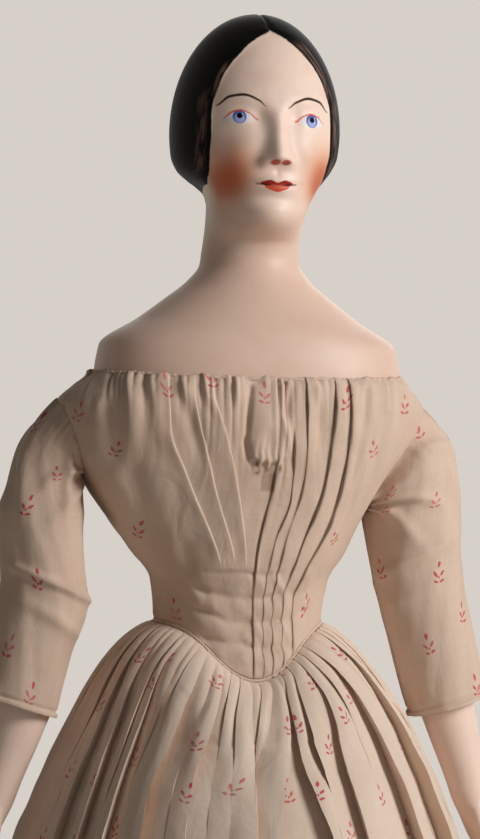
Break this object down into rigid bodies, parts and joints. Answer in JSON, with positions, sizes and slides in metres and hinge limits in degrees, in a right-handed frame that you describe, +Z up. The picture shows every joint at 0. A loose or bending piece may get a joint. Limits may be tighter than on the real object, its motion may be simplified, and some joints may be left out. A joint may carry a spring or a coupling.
{
  "type": "china head doll",
  "caption": "Old-style doll with a glazed china shoulder head, china lower limbs and a long sprigged cotton dress; the arms and legs swing at sewn joints.",
  "frame": {"origin": "on the floor, at the centre of the skirt's hem", "axes": "+Z up; the doll faces -Y; +X is towards the doll's left hand"},
  "size_m": [0.294, 0.294, 0.5399],
  "materials": {
    "painted_china": "gloss",
    "china": "gloss",
    "printed_cotton": "matte",
    "muslin": "matte",
    "white_cotton": "matte",
    "linen_thread": "matte",
    "hook_wire": "dull"
  },
  "bodies": {
    "torso": {"shoulder_head": "painted_china", "torso": "muslin", "head_stitch_front_right": "linen_thread", "head_stitch_front_left": "linen_thread", "head_stitch_back_right": "linen_thread", "head_stitch_back_left": "linen_thread", "bodice_front": "printed_cotton", "bodice_back_right": "printed_cotton", "bodice_back_left": "printed_cotton", "neckline_cord": "printed_cotton", "waist_piping": "printed_cotton", "skirt": "printed_cotton", "petticoat_band": "white_cotton", "petticoat": "white_cotton", "back_hook_1": "hook_wire", "back_eye_1": "hook_wire", "back_hook_2": "hook_wire", "back_eye_2": "hook_wire", "back_hook_3": "hook_wire", "back_eye_3": "hook_wire", "back_hook_4": "hook_wire", "back_eye_4": "hook_wire"},
    "right_arm": {"right_upper_arm": "muslin", "right_sleeve": "printed_cotton"},
    "right_forearm": {"right_forearm": "china", "right_arm_cuff": "muslin", "right_arm_binding": "linen_thread"},
    "right_leg": {"right_thigh": "muslin"},
    "right_shin": {"right_lower_leg": "china", "right_leg_cuff": "muslin", "right_leg_binding": "linen_thread"},
    "left_arm": {"left_upper_arm": "muslin", "left_sleeve": "printed_cotton"},
    "left_forearm": {"left_forearm": "china", "left_arm_cuff": "muslin", "left_arm_binding": "linen_thread"},
    "left_leg": {"left_thigh": "muslin"},
    "left_shin": {"left_lower_leg": "china", "left_leg_cuff": "muslin", "left_leg_binding": "linen_thread"}
  },
  "joints": [
    {"name": "right_shoulder", "type": "hinge", "parent": "torso", "child": "right_arm", "pos_m": [-0.053, -0.0042, 0.386], "axis": [-0.848, 0, -0.5299], "range_deg": [-40, 110]},
    {"name": "right_elbow", "type": "hinge", "parent": "right_arm", "child": "right_forearm", "pos_m": [-0.06514, -0.0042, 0.33544], "axis": [-1, 0, 0], "range_deg": [0, 40], "deforming": ["right_sleeve"]},
    {"name": "right_hip", "type": "hinge", "parent": "torso", "child": "right_leg", "pos_m": [-0.016, 0, 0.25], "axis": [-1, 0, 0], "range_deg": [-20, 20]},
    {"name": "right_knee", "type": "hinge", "parent": "right_leg", "child": "right_shin", "pos_m": [-0.016, 0, 0.15], "axis": [1, 0, 0], "range_deg": [0, 25]},
    {"name": "left_shoulder", "type": "hinge", "parent": "torso", "child": "left_arm", "pos_m": [0.053, -0.0042, 0.386], "axis": [-0.848, 0, 0.5299], "range_deg": [-40, 110]},
    {"name": "left_elbow", "type": "hinge", "parent": "left_arm", "child": "left_forearm", "pos_m": [0.06514, -0.0042, 0.33544], "axis": [-1, 0, 0], "range_deg": [0, 40], "deforming": ["left_sleeve"]},
    {"name": "left_hip", "type": "hinge", "parent": "torso", "child": "left_leg", "pos_m": [0.016, 0, 0.25], "axis": [-1, 0, 0], "range_deg": [-20, 20]},
    {"name": "left_knee", "type": "hinge", "parent": "left_leg", "child": "left_shin", "pos_m": [0.016, 0, 0.15], "axis": [1, 0, 0], "range_deg": [0, 25]}
  ]
}
